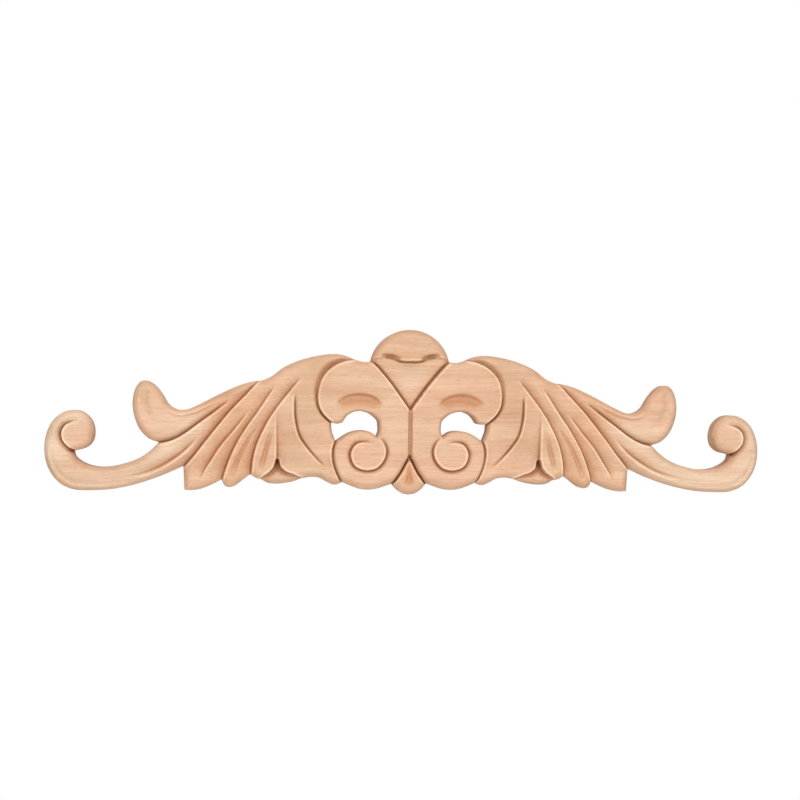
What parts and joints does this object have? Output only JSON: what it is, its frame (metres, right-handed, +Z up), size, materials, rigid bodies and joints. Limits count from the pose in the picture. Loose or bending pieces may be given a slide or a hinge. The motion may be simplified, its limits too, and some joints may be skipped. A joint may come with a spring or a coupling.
{
  "type": "embossed applique",
  "caption": "Carved wood onlay: dome over two pierced C-scrolls, with mirrored leaf fans, curled leaves and scroll ends on a flat back",
  "frame": {"origin": "on the flat back, on the vertical centre line, half way up the piece", "axes": "+X along the width, to the right as seen from the front; +Y out of the back, toward the surface it is fixed to; +Z up"},
  "size_m": [0.4, 0.016, 0.0921],
  "materials": {
    "carved_wood": "bare sanded wood"
  },
  "bodies": {
    "root": {"carved_applique": "carved_wood"}
  },
  "joints": []
}
